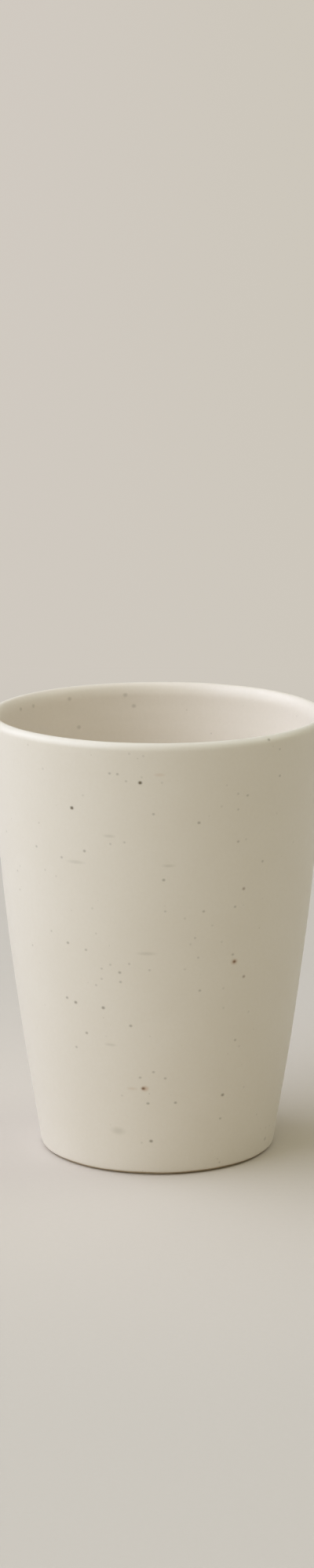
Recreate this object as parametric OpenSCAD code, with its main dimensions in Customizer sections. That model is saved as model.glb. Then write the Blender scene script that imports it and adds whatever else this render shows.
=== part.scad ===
// Handleless stoneware water cup: one thrown and glazed piece.
// The whole cup is a single half section turned about the Z axis. The section is
// a path of straight lines with rounded corners. The outer wall rises straight
// from the foot, bends over a long stretch and goes on straight to the lip, and
// the inner wall runs parallel to it.

/* [Body] */
// Outer diameter at the widest part of the lip
rim_d = 80; // [72:1:92]
// Height from the table to the top of the lip
cup_h = 104.5; // [90:0.5:125]
// Outer diameter that the foot would have if its edge were left sharp
foot_d = 55.2; // [48:0.2:62]
// Thickness of the wall
wall_t = 3.5; // [2.8:0.1:4.5]
// Thickness of the floor over the recess in the foot
floor_t = 4; // [3:0.1:7]

/* [Bend of the wall] */
// Lean of the upper wall from upright, in degrees
upper_lean = 5.3; // [3:0.1:7]
// Height at which the lines of the lower and the upper wall meet
bend_h = 42; // [38:1:60]
// How far the bend reaches down and up the wall from there
bend_reach = 23.5; // [10:0.5:26]

/* [Lip] */
// Radius of the lip's outer edge
lip_outer_r = 1.7; // [1.2:0.1:2.2]
// Height of the softer rounding on the lip's inner side
lip_inner_h = 3.2; // [2:0.1:6]

/* [Inside] */
// Radius between the inner wall and the floor
inner_corner_r = 9; // [4:0.5:12]

/* [Foot] */
// Radius of the edge round the outside of the foot
foot_edge_r = 1.5; // [0.5:0.1:2.5]
// Width of the flat ring that the cup stands on
foot_ring_w = 4; // [2.5:0.1:6]
// Depth of the recess inside the foot ring
recess_h = 1.5; // [0.8:0.1:2.5]
// Radius of the two soft edges round the recess
recess_edge_r = 0.8; // [0.4:0.1:1.2]

/* [Hidden] */

// Straight steps along a rounded edge, along the bend of the wall, and round the cup
edge_steps = 12;
bend_steps = 18;
round_steps = 180;

// Unit vector that points from one point to another
function towards(start, end) = (end - start) / norm(end - start);

// A vector turned to its left by a quarter turn
function left_of(v) = [-v.y, v.x];

// Angle by which a path turns at a corner
function turn_at(before, corner, after) =
    acos(towards(before, corner) * towards(corner, after));

// Points of the curve that leaves start towards the corner and comes from the corner
// into end: an arc of a circle where both lie as far from the corner, or else of an ellipse
function curve(start, corner, end, steps) =
    let (w = cos(turn_at(start, corner, end) / 2))
    [for (i = [0:steps])
        let (
            t = i / steps,
            a = (1 - t) * (1 - t),
            b = 2 * w * t * (1 - t),
            c = t * t
        )
        (a * start + b * corner + c * end) / (a + b + c)
    ];

// A corner whose arc leaves the path at a given reach before it and joins it again as far after it
function bent(before, corner, after, reach, steps) =
    curve(corner + reach * towards(corner, before), corner, corner + reach * towards(corner, after), steps);

// The reach of an arc of radius r at a corner
function reach_of(before, corner, after, r) = r * tan(turn_at(before, corner, after) / 2);

// A corner rounded to radius r
function rounded(before, corner, after, r) =
    bent(before, corner, after, reach_of(before, corner, after, r), edge_steps);

// The corner, beside this one, of the path that runs parallel at distance t to the left
function parallel_corner(before, corner, after, t) =
    let (mid = left_of(towards(before, corner) + towards(corner, after)))
    corner + t / cos(turn_at(before, corner, after) / 2) * mid / norm(mid);

// The point at height z on the line through two points
function at_height(a, b, z) = a + (b - a) * (z - a.y) / (b.y - a.y);

// Corners of the outer side. The lip's corner lies outside rim_d by as much as its
// arc takes off, so that the lip is rim_d wide.
foot_corner = [foot_d / 2, 0];
lip_corner = [rim_d / 2 + lip_outer_r * (1 / cos(upper_lean) + tan(upper_lean) - 1), cup_h];
bend_corner = lip_corner - (cup_h - bend_h) * [tan(upper_lean), 1];

// Corners of the inner side, down to the axis on the floor
floor_z = recess_h + floor_t;
inner_lip_corner = lip_corner - [wall_t / cos(upper_lean), 0];
inner_bend_corner = parallel_corner(foot_corner, bend_corner, lip_corner, wall_t);
inner_wall_foot = foot_corner + wall_t * left_of(towards(foot_corner, bend_corner));
inner_corner = at_height(inner_wall_foot, inner_bend_corner, floor_z);
floor_centre = [0, floor_z];

// The inner bend has the same centre as the outer one
inner_bend_reach = bend_reach - reach_of(foot_corner, bend_corner, lip_corner, wall_t);

// Corners of the recess under the floor, from the axis to the foot ring. Its side slopes at 45 degrees.
recess_centre = [0, recess_h];
foot_edge_reach = reach_of([0, 0], foot_corner, bend_corner, foot_edge_r);
ring_corner = foot_corner - [foot_edge_reach + foot_ring_w, 0];
recess_corner = ring_corner + [-recess_h, recess_h];

// Where the lip's outer and inner roundings meet, at the top of the cup, and where the inner one ends
lip_top = lip_corner - [reach_of(bend_corner, lip_corner, inner_lip_corner, lip_outer_r), 0];
lip_inner_end = at_height(inner_lip_corner, inner_bend_corner, cup_h - lip_inner_h);

// The half section, from the axis under the recess round to the axis above the floor
half_section = concat(
    [recess_centre],
    rounded(recess_centre, recess_corner, ring_corner, recess_edge_r),
    rounded(recess_corner, ring_corner, foot_corner, recess_edge_r),
    rounded(ring_corner, foot_corner, bend_corner, foot_edge_r),
    bent(foot_corner, bend_corner, lip_corner, bend_reach, bend_steps),
    rounded(bend_corner, lip_corner, inner_lip_corner, lip_outer_r),
    curve(lip_top, inner_lip_corner, lip_inner_end, edge_steps),
    bent(inner_lip_corner, inner_bend_corner, inner_corner, inner_bend_reach, bend_steps),
    rounded(inner_bend_corner, inner_corner, floor_centre, inner_corner_r),
    [floor_centre]
);

module cup() {
    color("#DDD6C8")
        rotate_extrude($fn = round_steps)
            polygon(half_section);
}

cup();
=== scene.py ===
# %% [markdown]
# # A handleless stoneware water cup
#
# This lesson gives a small thrown cup its looks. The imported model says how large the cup
# is and where it stands, and everything here is made round it: a fresh mesh of the cup with
# the small uneven touches of a thrown pot, a satin glaze with iron specks, a foot of bare
# clay, a pale seamless floor, and soft light from the left.
#
# The model is loaded first. It is in metres, stands on z = 0, and its axis is the Z axis.

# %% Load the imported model
import math

import bpy
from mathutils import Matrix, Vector


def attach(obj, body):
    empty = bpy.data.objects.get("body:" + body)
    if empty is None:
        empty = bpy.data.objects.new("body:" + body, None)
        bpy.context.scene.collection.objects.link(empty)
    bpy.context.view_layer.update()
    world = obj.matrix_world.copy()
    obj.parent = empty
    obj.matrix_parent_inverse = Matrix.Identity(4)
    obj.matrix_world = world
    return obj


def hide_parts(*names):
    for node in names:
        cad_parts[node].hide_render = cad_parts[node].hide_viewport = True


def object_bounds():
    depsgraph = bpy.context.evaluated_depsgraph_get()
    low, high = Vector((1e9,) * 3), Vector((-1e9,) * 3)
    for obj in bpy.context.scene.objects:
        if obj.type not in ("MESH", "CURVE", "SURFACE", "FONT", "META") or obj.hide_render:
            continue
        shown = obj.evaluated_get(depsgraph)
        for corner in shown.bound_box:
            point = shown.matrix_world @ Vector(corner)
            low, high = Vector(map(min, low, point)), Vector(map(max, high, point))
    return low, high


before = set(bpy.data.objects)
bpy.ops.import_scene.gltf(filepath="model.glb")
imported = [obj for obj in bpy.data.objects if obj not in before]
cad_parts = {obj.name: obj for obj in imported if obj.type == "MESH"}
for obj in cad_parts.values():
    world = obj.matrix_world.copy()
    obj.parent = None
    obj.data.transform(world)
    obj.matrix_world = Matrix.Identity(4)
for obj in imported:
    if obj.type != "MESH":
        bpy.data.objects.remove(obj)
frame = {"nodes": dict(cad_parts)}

MM = 0.001
cad_low, cad_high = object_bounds()
CUP_H = cad_high.z
RIM_R = cad_high.x
print(f"the packed model holds: {', '.join(frame['nodes'])}")
print(f"the cup is {RIM_R * 2 / MM:.1f} mm wide and {CUP_H / MM:.1f} mm high")

# %% [markdown]
# ## The camera
#
# The photograph is a narrow upright strip, 400 by 2000 pixels, that looks a little down
# into the cup. How far the rim's ellipse opens, compared with the foot's, gives the height
# and the pitch of the camera, and the width of the rim gives its distance. A sensor of
# 36 mm is fitted to the long side of the picture, so a lens of 81 mm covers 25 degrees.

# %% Set up the camera
PHOTO_W = 400
PHOTO_H = 2000
SENSOR = 36.0
LENS = 81.0
NEAR_CLIP = 0.05
FAR_CLIP = 20.0
CAMERA_AT = Vector((-0.1 * MM, -810.3 * MM, 257.5 * MM))
CAMERA_PITCH = math.radians(11.88)

camera_data = bpy.data.cameras.new("camera")
camera_data.lens = LENS
camera_data.sensor_width = SENSOR
camera_data.clip_start = NEAR_CLIP
camera_data.clip_end = FAR_CLIP
camera = bpy.data.objects.new("camera", camera_data)
camera.location = CAMERA_AT
camera.rotation_euler = (math.pi / 2 - CAMERA_PITCH, 0, 0)
bpy.context.scene.collection.objects.link(camera)
bpy.context.scene.camera = camera
bpy.context.view_layer.update()
print(f"the camera looks down by {math.degrees(CAMERA_PITCH):.1f} degrees")

# %% [markdown]
# ## Small helpers for modelling
#
# Operators act on whatever is selected. So a step starts by clearing the selection, and then
# picks its vertices, edges or faces in code, by where they are. An operator also renumbers
# what it touches, so the numbers are looked up anew before each step.

# %% Helpers that select
def deselect_all():
    """Leaves object mode with nothing selected."""
    if bpy.context.mode != "OBJECT":
        bpy.ops.object.mode_set(mode="OBJECT")
    bpy.ops.object.select_all(action="DESELECT")


def make_active(piece):
    """Selects one object alone and makes it the active one."""
    deselect_all()
    piece.select_set(True)
    bpy.context.view_layer.objects.active = piece


def pick(piece, kind, chosen):
    """Selects the elements with these numbers and nothing else, and enters edit mode."""
    make_active(piece)
    mesh = piece.data
    parts = {"VERT": mesh.vertices, "EDGE": mesh.edges, "FACE": mesh.polygons}
    for part in parts.values():
        part.foreach_set("select", [False] * len(part))
    chosen = set(chosen)
    parts[kind].foreach_set("select", [i in chosen for i in range(len(parts[kind]))])
    bpy.context.tool_settings.mesh_select_mode = [kind == name for name in parts]
    bpy.ops.object.mode_set(mode="EDIT")


def pick_all(piece):
    """Enters edit mode with every vertex of a piece selected."""
    pick(piece, "VERT", range(len(piece.data.vertices)))


# %% [markdown]
# ## Helpers for a line with corners
#
# The cup will be drawn as a line in the plane y = 0. These helpers work out where two
# stretches of such a line meet, how sharply it turns there, how far from the corner an arc
# of a given radius begins, and where the corner of a parallel line lies.

# %% Helpers that work out a line
def point(x, z):
    """A point of the half section, which lies in the plane y = 0."""
    return Vector((x, 0, z))


def left_of(way):
    """A direction in the plane of the section, turned to its left by a quarter turn."""
    return point(-way.z, way.x)


def turn_at(before, corner, after):
    """Angle by which the path turns at a corner."""
    return (corner - before).angle(after - corner)


def reach_of(before, corner, after, radius):
    """How far from a corner an arc of this radius touches the path."""
    return radius * math.tan(turn_at(before, corner, after) / 2)


def parallel_corner(before, corner, after, distance):
    """The same corner of the path that runs parallel, to the left of this one."""
    middle = left_of((corner - before).normalized() + (after - corner).normalized())
    return corner + middle.normalized() * distance / math.cos(turn_at(before, corner, after) / 2)


def at_height(low, high, z):
    """The point at height z on the line through two points."""
    return low + (high - low) * (z - low.z) / (high.z - low.z)


# %% [markdown]
# ## The half section of the cup
#
# A thrown pot is a turned shape: one line, swept round the axis of the wheel. The line here
# is the cup's half section. A cylinder, tapered and hollowed, would be quicker, but then the
# lip, the bend of the wall and the foot would have no form of their own. The line is drawn
# first with sharp corners: under the floor, out to the foot ring, up the outer wall, over
# the lip, down the inner wall and back to the axis. The corners lie where the straight
# stretches would meet, and each one is rounded afterwards, as a potter would with a sponge.

# %% Corners of the half section
FOOT_R = 27.6 * MM
UPPER_LEAN = math.radians(5.3)
BEND_H = 42 * MM
WALL_T = 3.5 * MM
FLOOR_T = 4 * MM
RECESS_H = 1.5 * MM
FOOT_RING_W = 4 * MM
LIP_OUTER_R = 1.7 * MM
LIP_INNER_H = 3.2 * MM
FOOT_EDGE_R = 1.5 * MM
FLOOR_Z = RECESS_H + FLOOR_T

table_centre = point(0, 0)
recess_centre = point(0, RECESS_H)
floor_centre = point(0, FLOOR_Z)
foot_corner = point(FOOT_R, 0)
lip_swell = LIP_OUTER_R * (1 / math.cos(UPPER_LEAN) + math.tan(UPPER_LEAN) - 1)
lip_corner = point(RIM_R + lip_swell, CUP_H)
bend_corner = lip_corner - (CUP_H - BEND_H) * point(math.tan(UPPER_LEAN), 1)
inner_lip_corner = lip_corner - point(WALL_T / math.cos(UPPER_LEAN), 0)
inner_bend_corner = parallel_corner(foot_corner, bend_corner, lip_corner, WALL_T)
inner_wall_foot = foot_corner + WALL_T * left_of((bend_corner - foot_corner).normalized())
inner_corner = at_height(inner_wall_foot, inner_bend_corner, FLOOR_Z)
foot_edge_reach = reach_of(table_centre, foot_corner, bend_corner, FOOT_EDGE_R)
ring_corner = foot_corner - point(foot_edge_reach + FOOT_RING_W, 0)
recess_corner = ring_corner + point(-RECESS_H, RECESS_H)
lip_top = lip_corner - point(reach_of(bend_corner, lip_corner, inner_lip_corner, LIP_OUTER_R), 0)
lip_inner_end = at_height(inner_lip_corner, inner_bend_corner, CUP_H - LIP_INNER_H)
print(f"the wall turns by {math.degrees(turn_at(foot_corner, bend_corner, lip_corner)):.1f} degrees")

# %% [markdown]
# ## Drawing the line
#
# There is no primitive with a single vertex. A small plane whose corners are merged gives
# one, and it is then extruded from corner to corner, as one would click a profile by hand.
# The inner side of the lip isn't a round arc: the cup is poured and drunk from here, and
# the potter's finger drew the edge down into the cup. So that stretch follows a quarter of
# an ellipse, taller than it is wide.

# %% Draw the half section with sharp corners
LIP_STEPS = 14


def eased(start, corner, end, steps):
    """Points of the arc that leaves start towards the corner and ends at end."""
    weight = math.cos(turn_at(start, corner, end) / 2)
    points = []
    for step in range(1, steps + 1):
        t = step / steps
        shares = ((1 - t) ** 2, 2 * weight * t * (1 - t), t ** 2)
        points.append((shares[0] * start + shares[1] * corner + shares[2] * end) / sum(shares))
    return points


path = [recess_centre, recess_corner, ring_corner, foot_corner, bend_corner, lip_corner, lip_top]
path += eased(lip_top, inner_lip_corner, lip_inner_end, LIP_STEPS)
path += [inner_bend_corner, inner_corner, floor_centre]

deselect_all()
bpy.ops.mesh.primitive_plane_add(size=MM, location=recess_centre)
cup = bpy.context.object
cup.name = "cup_body"
bpy.ops.object.transform_apply(location=True, rotation=False, scale=False)
bpy.ops.object.mode_set(mode="EDIT")
bpy.ops.mesh.select_all(action="SELECT")
bpy.ops.mesh.merge(type="CENTER")
for here, there in zip(path, path[1:]):
    bpy.ops.mesh.extrude_vertices_move(TRANSFORM_OT_translate={"value": there - here})
bpy.ops.object.mode_set(mode="OBJECT")
print(f"the line has {len(cup.data.vertices)} vertices")

# %% [markdown]
# ## Rounding the corners
#
# A bevel on a vertex of a bare line turns the corner into an arc. Its offset is how far the
# arc reaches along the line, and the reach follows from the radius and the angle. The bend
# part way up the wall is the same tool with a very long reach: it is what keeps the cup
# from looking like a plain cone. The inner bend has the same centre as the outer one, so the
# wall is as thick there as anywhere.

# %% Round the corners with vertex bevels
BEND_REACH = 23.5 * MM
INNER_CORNER_R = 9 * MM
RECESS_EDGE_R = 0.8 * MM
BEND_STEPS = 60
EDGE_STEPS = 10
INNER_CORNER_STEPS = 20
ROUND_PROFILE = 0.5
SAME_PLACE = 0.001 * MM


def round_corner(piece, corner, reach, steps):
    """Bevels the vertex that lies at this corner."""
    vert = min(piece.data.vertices, key=lambda v: (v.co - corner).length)
    pick(piece, "VERT", [vert.index])
    bpy.ops.mesh.bevel(offset=reach, segments=steps, profile=ROUND_PROFILE, affect="VERTICES")
    bpy.ops.object.mode_set(mode="OBJECT")


recess_side_reach = reach_of(recess_centre, recess_corner, ring_corner, RECESS_EDGE_R)
inner_bend_reach = BEND_REACH - reach_of(foot_corner, bend_corner, lip_corner, WALL_T)
inner_corner_reach = reach_of(inner_bend_corner, inner_corner, floor_centre, INNER_CORNER_R)
lip_reach = (lip_corner - lip_top).length

roundings = [
    (recess_corner, recess_side_reach, EDGE_STEPS),
    (ring_corner, recess_side_reach, EDGE_STEPS),
    (foot_corner, foot_edge_reach, EDGE_STEPS),
    (bend_corner, BEND_REACH, BEND_STEPS),
    (lip_corner, lip_reach, EDGE_STEPS),
    (inner_bend_corner, inner_bend_reach, BEND_STEPS),
    (inner_corner, inner_corner_reach, INNER_CORNER_STEPS),
]
for corner, reach, steps in roundings:
    round_corner(cup, corner, reach, steps)
pick_all(cup)
bpy.ops.mesh.remove_doubles(threshold=SAME_PLACE)
bpy.ops.object.mode_set(mode="OBJECT")
print(f"the rounded line has {len(cup.data.vertices)} vertices")

# %% [markdown]
# ## Even rows
#
# The straight stretches are still single edges. They are divided into rows of under a
# millimetre, so that the surface can carry the fine rings of the wheel later on. A Subdivision
# Surface modifier would divide the arcs as well, which are fine enough already.

# %% Divide the long edges
ROW = 0.8 * MM


def edge_length(piece, edge):
    """Length of an edge of a piece."""
    start, end = (piece.data.vertices[i].co for i in edge.vertices)
    return (end - start).length


def split_longest(piece, row):
    """Divides the longest edge into rows, and says whether there was anything to divide."""
    longest = max(piece.data.edges, key=lambda e: edge_length(piece, e))
    cuts = int(edge_length(piece, longest) / row)
    if cuts:
        pick(piece, "EDGE", [longest.index])
        bpy.ops.mesh.subdivide(number_cuts=cuts)
        bpy.ops.object.mode_set(mode="OBJECT")
    return cuts > 0


while split_longest(cup, ROW):
    pass
print(f"the divided line has {len(cup.data.vertices)} vertices")

# %% [markdown]
# ## Turning it on the wheel
#
# Spin sweeps the line round the Z axis. The first and the last copy of the line lie on each
# other, and all copies meet in one point on the axis, so vertices at the same place are
# merged. After that the shell is closed, and its normals are made to point outwards. A
# Solidify modifier on a thin wall would close it too, but it would give a square lip.

# %% Spin the line round the axis
TURN_STEPS = 180

pick_all(cup)
bpy.ops.mesh.spin(steps=TURN_STEPS, angle=2 * math.pi, center=(0, 0, 0), axis=(0, 0, 1))
bpy.ops.mesh.select_all(action="SELECT")
bpy.ops.mesh.remove_doubles(threshold=SAME_PLACE)
bpy.ops.mesh.normals_make_consistent(inside=False)
bpy.ops.object.mode_set(mode="OBJECT")
print(f"the turned cup has {len(cup.data.polygons)} faces")

# %% [markdown]
# ## Helpers that press a surface
#
# A Displace modifier moves each vertex by the colour of a cloud of noise. A vertex group says
# how freely each vertex may move, and an empty says how large the clouds are: they are read
# in its space, so a flat, wide empty squeezes them into thin layers. The middle level is the
# shade that moves nothing: at 0.5 the surface moves both ways, and at 1 only inwards.
# Sculpting could do the same by hand, but a modifier gives the same cup at every run.

# %% Helpers that weigh and press
def weigh(piece, name, weight_of):
    """Adds a vertex group whose weights come from a function of the vertex."""
    group = piece.vertex_groups.new(name=name)
    for vert in piece.data.vertices:
        group.add([vert.index], weight_of(vert), "REPLACE")


def press(piece, group, size, depth, way="NORMAL", middle=1):
    """Displaces a piece by clouds of this size, and applies the modifier."""
    bpy.ops.object.empty_add(location=(0, 0, 0))
    guide = bpy.context.object
    guide.scale = size
    clouds = bpy.data.textures.new(group, "CLOUDS")
    clouds.cloud_type = "COLOR"
    clouds.noise_scale = 1
    clouds.noise_depth = 1
    modifier = piece.modifiers.new(group, "DISPLACE")
    modifier.texture = clouds
    modifier.texture_coords = "OBJECT"
    modifier.texture_coords_object = guide
    modifier.vertex_group = group
    modifier.direction = way
    modifier.mid_level = middle
    modifier.strength = depth
    bpy.context.view_layer.update()
    make_active(piece)
    bpy.ops.object.modifier_apply(modifier=modifier.name)
    bpy.data.objects.remove(guide)
    bpy.data.textures.remove(clouds)


# %% [markdown]
# ## The touch of the hand
#
# A turned solid is perfect, and a thrown cup isn't. Two Displace modifiers bring the hand
# back. The first is slow: it shifts the whole wall sideways by a tenth of a millimetre, inner
# and outer side together, so the wall keeps its thickness. The second is fine rings, as the
# fingers leave them while the wheel turns. The inside gets deeper rings than the outside,
# which was smoothed with a rib. The foot stays as it is, because the cup stands on it.

# %% Displace the surface a little
STILL_BELOW = 2 * MM
FREE_ABOVE = 8 * MM
OUTSIDE_RINGS = 0.3
SLOW_CLOUDS = (45 * MM, 45 * MM, 60 * MM)
SLOW_DEPTH = 0.3 * MM
RING_CLOUDS = (80 * MM, 80 * MM, 2.4 * MM)
RING_DEPTH = 0.16 * MM
BOTH_WAYS = 0.5


def freedom(vert):
    """0 at the foot, and 1 from a little above it."""
    return min(1, max(0, (vert.co.z - STILL_BELOW) / (FREE_ABOVE - STILL_BELOW)))


def ring_depth(vert):
    """How deep the rings are: full on the inner wall, and slight on the outer one."""
    outwards = vert.co.xy.normalized().dot(vert.normal.xy)
    return freedom(vert) * (1 if outwards < 0 else OUTSIDE_RINGS)


turned = [vert.co.copy() for vert in cup.data.vertices]
deselect_all()
weigh(cup, "slow", freedom)
press(cup, "slow", SLOW_CLOUDS, SLOW_DEPTH, way="RGB_TO_XYZ", middle=BOTH_WAYS)
weigh(cup, "rings", ring_depth)
press(cup, "rings", RING_CLOUDS, RING_DEPTH)
moved = max((vert.co - place).length for vert, place in zip(cup.data.vertices, turned))
print(f"the hand moved the surface by {moved / MM:.2f} mm at most")

# %% [markdown]
# ## The edge of the glaze
#
# Glaze would stick the cup to the shelf of the kiln, so a potter wipes it off the foot. What
# is left is an edge, a fraction of a millimetre above the table. A mask in the material could
# draw it, but then the mesh would have no step there. So a bisect cuts a row of vertices into
# the rounded foot at that height, and the row is made to wander a little, as a sponge does.

# %% Cut a row of vertices at the glaze edge
GLAZE_EDGE_Z = 0.7 * MM
WANDER_FADE = 3 * MM
WANDER_CLOUDS = (9 * MM, 9 * MM, 9 * MM)
WANDER_DEPTH = 0.3 * MM


def wander_weight(vert):
    """1 at the glaze edge, falling to 0 at the table and a little above the edge, and 0 under the cup."""
    if vert.co.xy.length < ring_corner.x:
        return 0
    if vert.co.z < GLAZE_EDGE_Z:
        return vert.co.z / GLAZE_EDGE_Z
    return max(0, 1 - (vert.co.z - GLAZE_EDGE_Z) / WANDER_FADE)


def is_bare(face):
    """Whether a face lies below the glaze edge or under the floor."""
    if face.center.z < GLAZE_EDGE_Z:
        return True
    return face.center.z < RECESS_H + SAME_PLACE and face.center.xy.length < ring_corner.x


low_faces = [f for f in cup.data.polygons if f.center.z < FREE_ABOVE]
foot_faces = [f.index for f in low_faces if f.center.xy.length > ring_corner.x]
pick(cup, "FACE", foot_faces)
bpy.ops.mesh.bisect(plane_co=(0, 0, GLAZE_EDGE_Z), plane_no=(0, 0, 1), threshold=SAME_PLACE)
bpy.ops.object.mode_set(mode="OBJECT")
bare = [f.index for f in cup.data.polygons if is_bare(f)]
weigh(cup, "glaze_edge", wander_weight)
press(cup, "glaze_edge", WANDER_CLOUDS, WANDER_DEPTH, way="Z", middle=BOTH_WAYS)
print(f"{len(bare)} faces of the foot are bare clay")

# %% [markdown]
# ## The bare foot
#
# The glaze stands a hair proud of the clay. Everything below its edge is extruded and drawn
# in towards the axis, which leaves a small step, and it gets the second material of the cup.
# The step's upper edge is bevelled, because molten glaze pulls itself round.

# %% Draw in the bare foot and round the step
GLAZE_SLOT = 0
CLAY_SLOT = 1
GLAZE_T = 0.15 * MM
GLAZE_ROUND = 0.1 * MM
GLAZE_ROUND_STEPS = 3

glaze = bpy.data.materials.new("speckled_glaze")
clay = bpy.data.materials.new("bare_clay")
cup.data.materials.append(glaze)
cup.data.materials.append(clay)

drawn_in = 1 - GLAZE_T / FOOT_R
pick(cup, "FACE", bare)
bpy.ops.mesh.extrude_region_move()
bpy.ops.transform.resize(value=(drawn_in, drawn_in, 1), center_override=(0, 0, 0))
cup.active_material_index = CLAY_SLOT
bpy.ops.object.material_slot_assign()
bpy.ops.object.mode_set(mode="OBJECT")

clay_faces = [f for f in cup.data.polygons if f.material_index == CLAY_SLOT]
clay_verts = {i for face in clay_faces for i in face.vertices}
glaze_faces = [f for f in cup.data.polygons if f.material_index == GLAZE_SLOT]
step_faces = [f for f in glaze_faces if clay_verts.intersection(f.vertices)]
glaze_verts = {i for face in step_faces for i in face.vertices} - clay_verts
glaze_edges = [e.index for e in cup.data.edges if glaze_verts.issuperset(e.vertices)]
pick(cup, "EDGE", glaze_edges)
bpy.ops.mesh.bevel(offset=GLAZE_ROUND, segments=GLAZE_ROUND_STEPS, affect="EDGES")
bpy.ops.object.mode_set(mode="OBJECT")
print(f"{len(glaze_edges)} edges of the glaze are rounded")

# %% [markdown]
# ## Back to size
#
# The modifiers moved the lip by a tenth of a millimetre. The cup is brought to the width and
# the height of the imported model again, so that it fills the same space.

# %% Bring the cup to its size
widest = max(v.co.xy.length for v in cup.data.vertices)
highest = max(v.co.z for v in cup.data.vertices)
wider = RIM_R / widest
higher = CUP_H / highest
pick_all(cup)
bpy.ops.transform.resize(value=(wider, wider, higher), center_override=(0, 0, 0))
bpy.ops.object.mode_set(mode="OBJECT")
cup.vertex_groups.clear()
cup.data.shade_smooth()
print(f"made wider by {wider - 1:.2%} and higher by {higher - 1:.2%}")

# %% [markdown]
# ## Helpers for node trees
#
# A material is a tree of nodes. A few short helpers keep the trees readable: one adds a node
# and fills its inputs with values or with links, and the others do the same for the sums,
# steps and mixtures that come back again and again.

# %% Helpers that build nodes
def put(tree, kind, inputs, **settings):
    """Adds a node. An input gets a value, or a link if it is given another node's output."""
    made = tree.nodes.new(kind)
    for name, value in settings.items():
        setattr(made, name, value)
    for name, value in inputs.items():
        if isinstance(value, bpy.types.NodeSocket):
            tree.links.new(value, made.inputs[name])
        else:
            made.inputs[name].default_value = value
    return made


def maths(tree, operation, *values):
    """Adds a Math node and returns its output."""
    return put(tree, "ShaderNodeMath", dict(enumerate(values)), operation=operation).outputs["Value"]


def vectors(tree, operation, *values):
    """Adds a Vector Math node and returns the vector that it makes."""
    inputs = dict(enumerate(values))
    return put(tree, "ShaderNodeVectorMath", inputs, operation=operation).outputs["Vector"]


def measure(tree, operation, *values):
    """Adds a Vector Math node and returns the number that it measures."""
    inputs = dict(enumerate(values))
    return put(tree, "ShaderNodeVectorMath", inputs, operation=operation).outputs["Value"]


def most(tree, mask, *others):
    """The strongest of several masks."""
    for other in others:
        mask = maths(tree, "MAXIMUM", mask, other)
    return mask


def ramp(tree, value, start, end, low=0.0, high=1.0):
    """A smooth step of a value, from low at start to high at end."""
    inputs = {"Value": value, "From Min": start, "From Max": end, "To Min": low, "To Max": high}
    return put(tree, "ShaderNodeMapRange", inputs, interpolation_type="SMOOTHSTEP").outputs["Result"]


# A Mix node has its own sockets for each kind of value. The numbers are those of the first
# value, the second value and the result.
MIX_SOCKETS = {"RGBA": (6, 7, 2), "FLOAT": (2, 3, 0)}
MIX_SHARE = 0


def blend(tree, share, base, other, kind="RGBA"):
    """Mixes a second colour over a base colour, or a second number over a base number."""
    first, second, result = MIX_SOCKETS[kind]
    inputs = {MIX_SHARE: share, first: base, second: other}
    return put(tree, "ShaderNodeMix", inputs, data_type=kind).outputs[result]


# %% [markdown]
# ## Helpers for node groups
#
# What more than one material uses, or one material uses many times, is a node group: a small
# tree of its own, with named inputs and outputs. Its sockets are made on its interface.

# %% Helpers that start and close a node group
def new_group(name, inputs, outputs):
    """Starts a node group with inputs of these kinds and with float outputs."""
    tree = bpy.data.node_groups.new(name, "ShaderNodeTree")
    for socket, kind in inputs.items():
        tree.interface.new_socket(socket, in_out="INPUT", socket_type=f"NodeSocket{kind}")
    for socket in outputs:
        tree.interface.new_socket(socket, in_out="OUTPUT", socket_type="NodeSocketFloat")
    return tree, tree.nodes.new("NodeGroupInput").outputs


def close_group(tree, results):
    """Links a group's results to its outputs."""
    end = tree.nodes.new("NodeGroupOutput")
    for name, value in results.items():
        tree.links.new(value, end.inputs[name])


# %% [markdown]
# ## Scattered iron specks
#
# The clay holds grains of iron ore. In the kiln they melt into the glaze and come up as
# brown and grey specks, each a little different. Voronoi cells are a good start: each cell
# has one centre, and a random colour that decides how large its speck is and whether there
# is one at all. The position is shaken by a fine noise first, so that no speck is round. The
# group works in millimetres, and both the glaze and the bare clay use it.

# %% Node group: iron specks
SHAKE_WAVES = 3.5
SHAKE_DETAIL = 1.0
SHAKE_MIDDLE = (0.5, 0.5, 0.5)
SHAKE = (0.35, 0.35, 0.35)
CORE = 0.4
SMALLEST = 0.35
PALEST = 0.4
FEW_LARGE = 3.0


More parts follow.
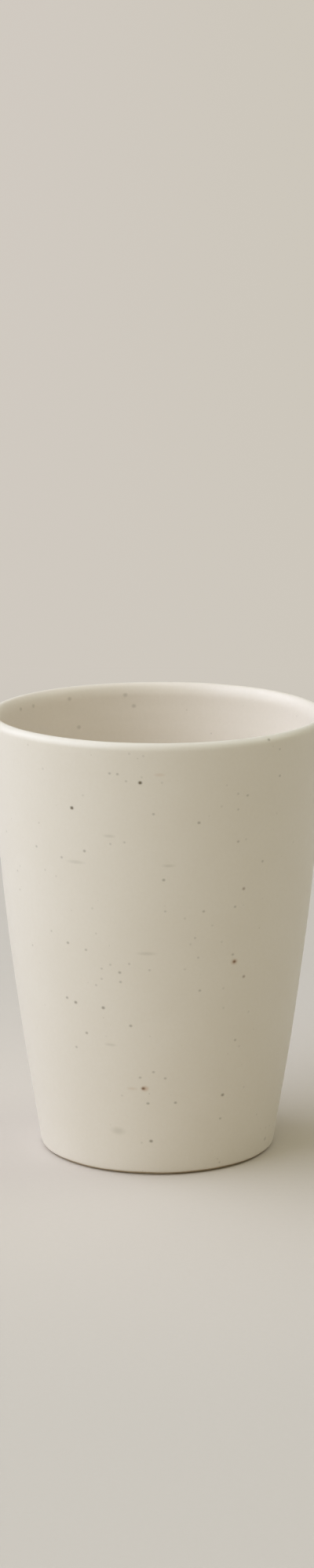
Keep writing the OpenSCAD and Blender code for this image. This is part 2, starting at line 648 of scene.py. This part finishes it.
def build_specks():
    """A mask of random specks on a position in millimetres."""
    tree, given = new_group(
        "Iron specks",
        {"Position": "Vector", "Cell": "Float", "Share": "Float", "Radius": "Float"},
        ["Mask"],
    )
    waves = {"Vector": given["Position"], "Scale": SHAKE_WAVES, "Detail": SHAKE_DETAIL}
    shake = put(tree, "ShaderNodeTexNoise", waves).outputs["Color"]
    nudge = vectors(tree, "MULTIPLY", vectors(tree, "SUBTRACT", shake, SHAKE_MIDDLE), SHAKE)
    shaken = vectors(tree, "ADD", given["Position"], nudge)
    per_cell = maths(tree, "DIVIDE", 1.0, given["Cell"])
    cells = put(tree, "ShaderNodeTexVoronoi", {"Vector": shaken, "Scale": per_cell}).outputs
    away = maths(tree, "MULTIPLY", cells["Distance"], given["Cell"])
    dice = put(tree, "ShaderNodeSeparateColor", {"Color": cells["Color"]}).outputs
    few = maths(tree, "POWER", dice["Green"], FEW_LARGE)
    size = maths(tree, "MULTIPLY_ADD", few, 1 - SMALLEST, SMALLEST)
    radius = maths(tree, "MULTIPLY", given["Radius"], size)
    inside = ramp(tree, maths(tree, "DIVIDE", away, radius), 1.0, CORE)
    there = maths(tree, "LESS_THAN", dice["Red"], given["Share"])
    strong = maths(tree, "MULTIPLY_ADD", dice["Blue"], 1 - PALEST, PALEST)
    speck = maths(tree, "MULTIPLY", inside, there)
    close_group(tree, {"Mask": maths(tree, "MULTIPLY", speck, strong)})
    return tree


iron_specks = build_specks()
print(f"the group of specks has {len(iron_specks.nodes)} nodes")

# %% [markdown]
# ## One placed mark
#
# Scattered specks never fall where the photograph has them, and the largest ones are what
# one knows this cup by. So a second group draws one mark into a mask, round a centre that is
# given. It measures how far the surface is from the centre in half widths and half heights,
# so the same group draws round specks and wide, thin smears. Each speck could be a small disc
# on the glaze instead, but iron lies in the glaze and has soft edges.

# %% Node group: one placed mark
MARK_CORE = 0.1


def build_mark():
    """Adds one soft ellipse to a mask. Sizes are in millimetres."""
    tree, given = new_group(
        "Placed mark",
        {
            "Mask": "Float",
            "Position": "Vector",
            "Centre": "Vector",
            "Half size": "Vector",
            "Strength": "Float",
        },
        ["Mask"],
    )
    away = vectors(tree, "SUBTRACT", given["Position"], given["Centre"])
    distance = measure(tree, "LENGTH", vectors(tree, "DIVIDE", away, given["Half size"]))
    mark = maths(tree, "MULTIPLY", ramp(tree, distance, 1.0, MARK_CORE), given["Strength"])
    close_group(tree, {"Mask": most(tree, given["Mask"], mark)})
    return tree


placed_mark = build_mark()
print(f"the group of one mark has {len(placed_mark.nodes)} nodes")

# %% [markdown]
# ## From the photograph to the cup
#
# The marks were found in the photograph, and each is kept as the pixel at its middle.
# A ray goes from the camera through that pixel, and where it meets the cup there is the mark.
# So a mark stays in its place in the picture, and it also lies right on the glaze.

# %% Helper that finds a pixel's place on the cup
HALF_PIXEL = 0.5


def on_cup(x, y):
    """The place on the cup, in millimetres, that the middle of a pixel of the photograph shows."""
    pixels_per_mm = PHOTO_H / SENSOR
    across = (x + HALF_PIXEL - PHOTO_W / 2) / pixels_per_mm
    up = (PHOTO_H / 2 - y - HALF_PIXEL) / pixels_per_mm
    way = camera.matrix_world.to_quaternion() @ Vector((across, up, -LENS))
    found, place, _, _ = cup.ray_cast(CAMERA_AT, way)
    if not found:
        raise ValueError(f"no part of the cup at pixel {x}, {y}")
    return place / MM


# %% [markdown]
# ## Where the marks are
#
# The plain specks are sorted by how dark they are. The other marks are kept apart: a few
# specks lie deep in the glaze and look soft, some marks were drawn out into smears by the
# rib as the cup turned, one is a dull blotch, and the rusty ones are browner, two of them
# with a halo.

# %% Places of the marks, in pixels of the photograph
BOLD_SPECKS = [(178, 998), (91, 1030)]
LARGE_SPECKS = [(96, 1278), (131, 1285), (192, 1455), (283, 1396)]
MIDDLE_SPECKS = [
    (152, 1240), (253, 1049), (107, 1085), (188, 1407), (208, 1122), (110, 1317), (223, 1406), (342, 943),
    (86, 1202), (85, 1272), (166, 1308),
]
SMALL_SPECKS = [
    (78, 1093), (153, 1252), (97, 1335), (254, 1263), (280, 1426), (299, 1326), (334, 1098), (356, 989),
    (299, 1156), (139, 986), (259, 1162), (315, 1014), (303, 1073), (109, 1211), (195, 1038), (149, 987),
    (178, 1374), (195, 1367), (210, 1375), (46, 1079), (296, 1217),
]
FAINT_SPECKS = [
    (190, 1237), (356, 955), (160, 996), (158, 1074), (140, 1076), (303, 1012), (210, 1162), (41, 1205),
    (129, 1235), (129, 1248), (252, 1221), (279, 1482), (303, 1032), (248, 1196), (8, 1060), (22, 1110),
    (65, 1187), (164, 1229), (25, 1134), (122, 1256), (140, 1230),
]
FAINTEST_SPECKS = [
    (282, 1028), (117, 1158), (242, 1204), (270, 1180), (235, 1236), (54, 980), (164, 961), (182, 964),
    (206, 998), (180, 991), (25, 1104), (57, 1109), (71, 1117), (284, 1260), (304, 1334), (310, 1386),
    (338, 1438), (343, 1435), (348, 1437), (155, 1397), (180, 1457), (284, 1285), (316, 1290), (282, 1201),
    (235, 1171), (105, 1014), (313, 1070),
]
SOFT_SPECKS = [(100, 927), (159, 886), (88, 891), (26, 904), (42, 900), (170, 900), (337, 1452)]
BOLD_RUSTY_SPECKS = [(298, 1226), (182, 1388)]
LARGE_RUSTY_SPECKS = [(310, 1133), (310, 1245)]
LONG_SMEARS = [(96, 1099), (186, 1216)]
SHORT_SMEARS = [(214, 1104), (140, 1332), (138, 1066)]
BLOTCHES = [(150, 1442)]
RUSTY_SMEARS = [(203, 988), (168, 1388)]
RUST_HALOS = [(298, 1226), (184, 1388)]
print(f"the speck {BOLD_SPECKS[0]} lies at {[round(c, 1) for c in on_cup(*BOLD_SPECKS[0])]} mm")

# %% [markdown]
# ## How large and how dark they are
#
# Each kind of mark has a half width, depth and height and a strength. The width and the depth
# are alike, because the wall may face any way there. The specks in a mask are drawn one over
# another, and where two overlap the stronger one counts.

# %% Kinds of mark
# Places, half width, depth and height in millimetres, and strength
MARK_KINDS = {
    "bold": (BOLD_SPECKS, (0.7, 0.7, 0.62), 0.95),
    "large": (LARGE_SPECKS, (0.66, 0.66, 0.58), 0.6),
    "middle": (MIDDLE_SPECKS, (0.58, 0.58, 0.5), 0.45),
    "small": (SMALL_SPECKS, (0.54, 0.54, 0.46), 0.33),
    "faint": (FAINT_SPECKS, (0.46, 0.46, 0.42), 0.24),
    "faintest": (FAINTEST_SPECKS, (0.46, 0.46, 0.42), 0.15),
    "soft": (SOFT_SPECKS, (0.9, 0.9, 0.75), 0.26),
    "bold rusty": (BOLD_RUSTY_SPECKS, (0.68, 0.68, 0.6), 0.9),
    "large rusty": (LARGE_RUSTY_SPECKS, (0.64, 0.64, 0.58), 0.55),
    "long smear": (LONG_SMEARS, (3.2, 3.2, 0.65), 0.28),
    "short smear": (SHORT_SMEARS, (2.1, 2.1, 0.55), 0.28),
    "blotch": (BLOTCHES, (2.5, 2.5, 1.4), 0.3),
    "rusty smear": (RUSTY_SMEARS, (1.8, 1.8, 0.6), 0.2),
    "rust halo": (RUST_HALOS, (1.3, 1.3, 1.0), 0.55),
}


def draw_marks(tree, position, *kinds):
    """A mask with all marks of these kinds."""
    mask = 0.0
    for places, half_size, strength in (MARK_KINDS[kind] for kind in kinds):
        inputs = {"Position": position, "Half size": half_size, "Strength": strength}
        for place in places:
            here = {"Mask": mask, "Centre": on_cup(*place)}
            mask = put(tree, "ShaderNodeGroup", inputs | here, node_tree=placed_mark).outputs["Mask"]
    return mask


print(f"{sum(len(places) for places, _, _ in MARK_KINDS.values())} marks are placed by hand")

# %% [markdown]
# ## What all materials start with
#
# Object coordinates are fixed to the piece, so a pattern on them stays where it is when the
# cup turns, and it has no seam. They are in metres, and a surface is easier to think of in
# millimetres, so they are scaled first.

# %% Helpers that materials share
PER_MM = 1 / MM
NOISE_DETAIL = 2.0
NOISE_LOW = 0.3
NOISE_HIGH = 0.7


def start_material(material):
    """Clears a material and returns its tree, its shader and the position in millimetres."""
    material.use_nodes = True
    tree = material.node_tree
    metres = put(tree, "ShaderNodeTexCoord", {}).outputs["Object"]
    return tree, tree.nodes["Principled BSDF"], vectors(tree, "MULTIPLY", metres, (PER_MM, PER_MM, PER_MM))


def feed(tree, shader, inputs):
    """Links these outputs to the shader."""
    for name, value in inputs.items():
        tree.links.new(value, shader.inputs[name])


def noise(tree, position, waves):
    """Noise with this many waves to the millimetre."""
    inputs = {"Vector": position, "Scale": waves, "Detail": NOISE_DETAIL}
    return put(tree, "ShaderNodeTexNoise", inputs).outputs["Fac"]


def noise_between(tree, position, waves, low, high):
    """Noise that goes smoothly from a low to a high value."""
    return ramp(tree, noise(tree, position, waves), NOISE_LOW, NOISE_HIGH, low, high)


def scatter(tree, position, cell, share, radius):
    """Iron specks from the node group. Sizes are in millimetres."""
    inputs = {"Position": position, "Cell": cell, "Share": share, "Radius": radius}
    return put(tree, "ShaderNodeGroup", inputs, node_tree=iron_specks).outputs["Mask"]


def off_axis(tree, position):
    """The position without its height, which points away from the axis."""
    return vectors(tree, "MULTIPLY", position, (1, 1, 0))


def bumped(tree, height):
    """A normal for the shader, from a height in millimetres."""
    inputs = {"Height": height, "Distance": MM, "Strength": 1.0}
    return put(tree, "ShaderNodeBump", inputs).outputs["Normal"]


# %% [markdown]
# ## What the photograph shows of the cup
#
# Iron is placed one by one where the photograph shows the cup, and scattered where it doesn't:
# on the back and on most of the inside. Two masks tell these apart. One says whether the
# surface faces away from the axis, and the other adds where it lies.

# %% Masks of the outer side and of the hidden sides
FACING_SOFT = 5.0
BACK_SOFT = 3.0
SEEN_ABOVE = 90.0
HIDDEN_BELOW = 84.0


def outer_side(tree, position):
    """1 where the surface faces away from the axis, and 0 where it faces the axis."""
    normal = put(tree, "ShaderNodeTexCoord", {}).outputs["Normal"]
    facing = measure(tree, "DOT_PRODUCT", normal, off_axis(tree, position))
    return ramp(tree, facing, -FACING_SOFT, FACING_SOFT)


def hidden_sides(tree, position, outer):
    """1 on the back outside, and inside everywhere but high up at the back."""
    parts = put(tree, "ShaderNodeSeparateXYZ", {"Vector": position}).outputs
    back = ramp(tree, parts["Y"], -BACK_SOFT, BACK_SOFT)
    low = ramp(tree, parts["Z"], SEEN_ABOVE, HIDDEN_BELOW)
    hidden_inside = most(tree, maths(tree, "SUBTRACT", 1.0, back), low)
    return blend(tree, outer, hidden_inside, back, "FLOAT")


# %% [markdown]
# ## Iron in the glaze
#
# The hidden sides get scattered specks of the same sizes and about the same number as the
# front, and a very faint dust lies over all of it. The marks are kept in separate masks by
# what they do: some darken the glaze, some make it rusty or grey, and only the larger specks
# sit in tiny pits.

# %% Masks of the iron
# Cell in millimetres, share of the cells with a speck, and radius of the largest in millimetres
DUST = (3.0, 0.9, 0.36)
SCATTERED = (4.8, 0.85, 0.68)
SHOWN_DUST = 0.3


def iron_masks(tree, position, outer):
    """Masks of what the iron does in the glaze, by name."""
    hidden = hidden_sides(tree, position, outer)
    dust_share = maths(tree, "MULTIPLY_ADD", hidden, 1 - SHOWN_DUST, SHOWN_DUST)
    scattered = maths(tree, "MULTIPLY", scatter(tree, position, *SCATTERED), hidden)
    strong = draw_marks(tree, position, "bold", "large")
    weak = draw_marks(tree, position, "middle", "small", "faint", "faintest", "soft")
    rusty = draw_marks(tree, position, "bold rusty", "large rusty")
    return {
        "dust": maths(tree, "MULTIPLY", scatter(tree, position, *DUST), dust_share),
        "dark": most(tree, strong, weak, scattered),
        "rusty": rusty,
        "rust": draw_marks(tree, position, "rusty smear", "rust halo"),
        "smears": draw_marks(tree, position, "long smear", "short smear", "blotch"),
        "pits": most(tree, strong, rusty, scattered),
    }


# %% [markdown]
# ## The glaze
#
# The glaze is a satin, slightly warm off-white. Inside it is painted a hair lighter and warmer,
# which is painted light for the light that bounces round inside the cup. It is a little
# cloudy, because it lies thicker in one place than in another. The iron is mixed over it,
# from the faintest to the darkest. Satin means that it reflects, but blurs what it reflects,
# so the roughness is in the middle. Specks are drier than the glaze round them. A Bump node
# works its height out three times at every point, so only few marks feed it.

# %% Material: speckled glaze
GLAZE_COLOUR = (0.77, 0.715, 0.63, 1)
# Painted light: the inside is painted a hair lighter and warmer than the outer wall.
GLAZE_INSIDE_PAINTED_LIGHT = (0.795, 0.719, 0.635, 1)
GLAZE_THIN = (0.71, 0.645, 0.545, 1)
SMEAR = (0.42, 0.38, 0.30, 1)
RUST = (0.50, 0.30, 0.16, 1)
FAINT_IRON = (0.34, 0.29, 0.22, 1)
DARK_IRON = (0.10, 0.07, 0.022, 1)
RUSTY_IRON = (0.17, 0.085, 0.035, 1)
CLOUD_WAVES = 0.07
CLOUD_START = 0.35
CLOUD_SHARE = 0.15
GRAIN_WAVES = 1.3
GRAIN_SHARE = 0.14
SATIN_WAVES = 0.25
SATIN = (0.36, 0.44)
DRIER_IRON = 0.2
RIPPLE_WAVES = 0.55
RIPPLE_H = 0.02
PIT_H = -0.03
GLAZE_IOR = 1.5


def glaze_colour(tree, position, outer, iron):
    """The glaze, its clouds and its grain, with the iron mixed over them."""
    clouds = ramp(tree, noise(tree, position, CLOUD_WAVES), CLOUD_START, NOISE_HIGH, 0.0, CLOUD_SHARE)
    grain = noise_between(tree, position, GRAIN_WAVES, 0.0, GRAIN_SHARE)
    # Painted light: the inner side gets the lighter, warmer tone.
    colour = blend(tree, outer, GLAZE_INSIDE_PAINTED_LIGHT, GLAZE_COLOUR)
    colour = blend(tree, clouds, colour, GLAZE_THIN)
    colour = blend(tree, grain, colour, GLAZE_THIN)
    colour = blend(tree, iron["smears"], colour, SMEAR)
    colour = blend(tree, iron["rust"], colour, RUST)
    colour = blend(tree, iron["dust"], colour, FAINT_IRON)
    colour = blend(tree, iron["dark"], colour, DARK_IRON)
    return blend(tree, iron["rusty"], colour, RUSTY_IRON)


def build_glaze(material):
    """Fills the glaze's tree."""
    tree, shader, position = start_material(material)
    outer = outer_side(tree, position)
    iron = iron_masks(tree, position, outer)
    satin = noise_between(tree, position, SATIN_WAVES, *SATIN)
    specks = most(tree, iron["dark"], iron["rusty"])
    ripple = maths(tree, "MULTIPLY", noise(tree, position, RIPPLE_WAVES), RIPPLE_H)
    height = maths(tree, "MULTIPLY_ADD", iron["pits"], PIT_H, ripple)
    feed(tree, shader, {
        "Base Color": glaze_colour(tree, position, outer, iron),
        "Roughness": maths(tree, "MULTIPLY_ADD", specks, DRIER_IRON, satin),
        "Normal": bumped(tree, height),
    })
    shader.inputs["IOR"].default_value = GLAZE_IOR
    print(f"the glaze has {len(tree.nodes)} nodes")


build_glaze(glaze)

# %% [markdown]
# ## The bare clay
#
# Under the foot there is no glaze. The fired clay is buff and dry, with grains of sand that
# one feels with a finger, the iron that shows through the glaze elsewhere, and fine circles
# where the foot was trimmed on the wheel. The circles are a sine of the distance from the
# axis. From the front the clay is only a thin line at the table, pale on the window's side
# and lost in the shadow on the other.

# %% Material: bare clay
CLAY_COLOUR = (0.50, 0.40, 0.27, 1)
CLAY_PALE = (0.57, 0.47, 0.33, 1)
CLAY_WAVES = 0.15
CLAY_IRON = (2.2, 0.8, 0.32)
CLAY_IRON_SHARE = 0.8
SAND_WAVES = 4.0
SAND_H = 0.08
DRY = (0.78, 0.92)
CIRCLE_WAVES = 9.0
CIRCLE_H = 0.012


def build_clay(material):
    """Fills the bare clay's tree."""
    tree, shader, position = start_material(material)
    sand = noise(tree, position, SAND_WAVES)
    iron = maths(tree, "MULTIPLY", scatter(tree, position, *CLAY_IRON), CLAY_IRON_SHARE)
    distance = measure(tree, "LENGTH", off_axis(tree, position))
    circles = maths(tree, "SINE", maths(tree, "MULTIPLY", distance, CIRCLE_WAVES))
    colour = blend(tree, noise_between(tree, position, CLAY_WAVES, 0.0, 1.0), CLAY_COLOUR, CLAY_PALE)
    height = maths(tree, "MULTIPLY_ADD", circles, CIRCLE_H, maths(tree, "MULTIPLY", sand, SAND_H))
    feed(tree, shader, {
        "Base Color": blend(tree, iron, colour, DARK_IRON),
        "Roughness": ramp(tree, sand, NOISE_LOW, NOISE_HIGH, *DRY),
        "Normal": bumped(tree, height),
    })
    print(f"the clay has {len(tree.nodes)} nodes")


build_clay(clay)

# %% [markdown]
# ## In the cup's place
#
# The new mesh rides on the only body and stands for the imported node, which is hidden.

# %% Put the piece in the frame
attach(cup, "root")
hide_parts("cup")
print(f"{cup.name} stands for the packed cup")

# %% [markdown]
# ## Floor and backdrop
#
# Floor and backdrop are one sheet of pale paper, with no horizon. A photographer lets a roll
# of paper hang down behind the table. Here it is a wide round dish, so that the cup stands on
# the same pale ground from every side. A disc is extruded outwards and upwards, and the edge
# between the two is bevelled into a long curve.

# %% Shape of the seamless floor
FLOOR_R = 2.2
DISH_R = 3.4
DISH_H = 1.6
SWEEP = 0.9
DISH_TURN_STEPS = 96
SWEEP_STEPS = 24

deselect_all()
bpy.ops.mesh.primitive_circle_add(
    vertices=DISH_TURN_STEPS, radius=FLOOR_R, fill_type="NGON", location=(0, 0, 0)
)
dish = bpy.context.object
dish.name = "seamless_floor"
bpy.ops.object.mode_set(mode="EDIT")
bpy.ops.mesh.select_mode(type="EDGE")
bpy.ops.mesh.select_all(action="SELECT")
bpy.ops.mesh.extrude_edges_move()
bpy.ops.transform.resize(value=(DISH_R / FLOOR_R, DISH_R / FLOOR_R, 1), center_override=(0, 0, 0))
bpy.ops.transform.translate(value=(0, 0, DISH_H))
bpy.ops.object.mode_set(mode="OBJECT")
low_verts = {v.index for v in dish.data.vertices if v.co.z < SAME_PLACE}
floor_edges = [e.index for e in dish.data.edges if low_verts.issuperset(e.vertices)]
pick(dish, "EDGE", floor_edges)
bpy.ops.mesh.bevel(offset=SWEEP, segments=SWEEP_STEPS, affect="EDGES")
bpy.ops.object.mode_set(mode="OBJECT")
dish.data.shade_smooth()
print(f"the floor and backdrop have {len(dish.data.polygons)} faces")

# %% [markdown]
# ## Paper that stays pale
#
# Near the cup the paper is lit as any paper is, and it takes the shadow. Right round the foot it
# is painted a shade lighter, as painted light that makes up for the room's light that the cup
# keeps away. A lamp that is close to the cup can't light a backdrop far behind it, though, and a
# stronger lamp would light the cup too much. So from some way out the paper glows in its own
# even tone, and this glow is painted light: lighter on the left, the window's side, and a
# little darker and warmer on the right. Only rays that are seen, directly or in a reflection,
# get this glow: the light that falls on the cup stays what the lamps give.

# %% Material: pale paper
# Painted light: the paper near the foot is painted lighter than PAPER_FAR.
PAPER_NEAR_PAINTED_LIGHT = (0.638, 0.578, 0.518, 1)
PAPER_FAR = (0.596, 0.547, 0.494, 1)
PAPER_FLECK = (0.532, 0.487, 0.424, 1)
FLECK_WAVES = 0.8
FLECK_SHARE = 0.06
# Painted light: the glow of the far paper, lighter on the left than on the right.
LEFT_GLOW_PAINTED_LIGHT = (0.636, 0.590, 0.536, 1)
RIGHT_GLOW_PAINTED_LIGHT = (0.606, 0.566, 0.494, 1)
BLACK = (0, 0, 0, 1)
PAPER_ROUGHNESS = 0.9
NO_GLOSS = 0.0
# Distances from the cup, in millimetres
TONE_HALF_WIDTH = 200
PAINTED_LIGHT_WITHIN = 45
PAINTED_LIGHT_ENDS_BEYOND = 190
LIT_WITHIN = 250
EVEN_BEYOND = 650


def build_paper(material):
    """Fills the paper's tree."""
    tree, shader, position = start_material(material)
    across = put(tree, "ShaderNodeSeparateXYZ", {"Vector": position}).outputs["X"]
    from_cup = measure(tree, "LENGTH", position)
    rays = put(tree, "ShaderNodeLightPath", {}).outputs
    reflected = maths(tree, "ADD", rays["Is Glossy Ray"], rays["Is Transmission Ray"])
    seen = maths(tree, "ADD", rays["Is Camera Ray"], reflected)
    glow = maths(tree, "MULTIPLY", ramp(tree, from_cup, LIT_WITHIN, EVEN_BEYOND), seen)
    fleck = noise_between(tree, position, FLECK_WAVES, 0.0, FLECK_SHARE)
    # Painted light: the paper is painted lighter near the foot.
    plain = blend(tree, ramp(tree, from_cup, PAINTED_LIGHT_WITHIN, PAINTED_LIGHT_ENDS_BEYOND), PAPER_NEAR_PAINTED_LIGHT, PAPER_FAR)
    lit = blend(tree, fleck, plain, PAPER_FLECK)
    # Painted light: the glow is lighter on the left and darker and warmer on the right.
    to_right = ramp(tree, across, -TONE_HALF_WIDTH, TONE_HALF_WIDTH)
    feed(tree, shader, {
        "Base Color": blend(tree, glow, lit, BLACK),
        "Emission Color": blend(tree, to_right, LEFT_GLOW_PAINTED_LIGHT, RIGHT_GLOW_PAINTED_LIGHT),
        "Emission Strength": glow,
    })
    shader.inputs["Roughness"].default_value = PAPER_ROUGHNESS
    shader.inputs["Specular IOR Level"].default_value = NO_GLOSS


paper = bpy.data.materials.new("pale_paper")
build_paper(paper)
dish.data.materials.append(paper)
print(f"the paper glows evenly from {EVEN_BEYOND} mm out")

# %% [markdown]
# ## Light
#
# The light is that of a room with a tall window on the left: the left side of the cup is
# bright and cool, and the shadow falls to the right. What comes back from the room is warmer
# and much weaker. Two broad lamps stand for the lower and the upper part of the window. The
# upper one is what draws the pale line round the whole lip. Two smaller lamps and a dim
# world stand for the room. A picture of a room could light the world instead, but it would
# have to be read from disk, and lamps are easier to set.

# %% Lamps and world
LAMP_DISTANCE = 1.5
WINDOW_SIZE = (2.4, 1.0)
ROOM_SIZE = (1.0, 1.0)
# Azimuth and height in degrees, size in metres, watts and colour
LAMPS = {
    "window_low": (-84, 34, WINDOW_SIZE, 20.9, (0.79, 0.862, 1.0)),
    "window_high": (-92, 60, WINDOW_SIZE, 11.7, (0.745, 0.805, 1.0)),
    "room_front": (-15, 30, ROOM_SIZE, 2.7, (0.95, 0.94, 0.65)),
    "room_right": (100, 45, ROOM_SIZE, 4.9, (0.93, 1.0, 0.94)),
}
WORLD_COLOUR = (0.99, 0.94, 0.68, 1)
WORLD_STRENGTH = 0.335


def add_lamp(name, azimuth, height, size, power, colour):
    """A lamp that faces the cup. Azimuth 0 is the camera's side, and minus is to its left."""
    turn = math.radians(azimuth)
    rise = math.radians(height)
    toward = Vector((math.sin(turn) * math.cos(rise), -math.cos(turn) * math.cos(rise), math.sin(rise)))
    data = bpy.data.lights.new(name, "AREA")
    data.shape = "RECTANGLE"
    data.size, data.size_y = size
    data.energy = power
    data.color = colour
    lamp = bpy.data.objects.new(name, data)
    lamp.location = Vector((0, 0, CUP_H / 2)) + toward * LAMP_DISTANCE
    lamp.rotation_euler = toward.to_track_quat("Z", "Y").to_euler()
    lamp.visible_camera = False
    bpy.context.scene.collection.objects.link(lamp)


for name, settings in LAMPS.items():
    add_lamp(name, *settings)
world = bpy.data.worlds.new("dim_room")
world.use_nodes = True
background = world.node_tree.nodes["Background"].inputs
background["Color"].default_value = WORLD_COLOUR
background["Strength"].default_value = WORLD_STRENGTH
bpy.context.scene.world = world
bpy.context.scene.view_settings.view_transform = "Standard"
print(f"{len(bpy.data.lights)} lamps and a dim world light the cup")
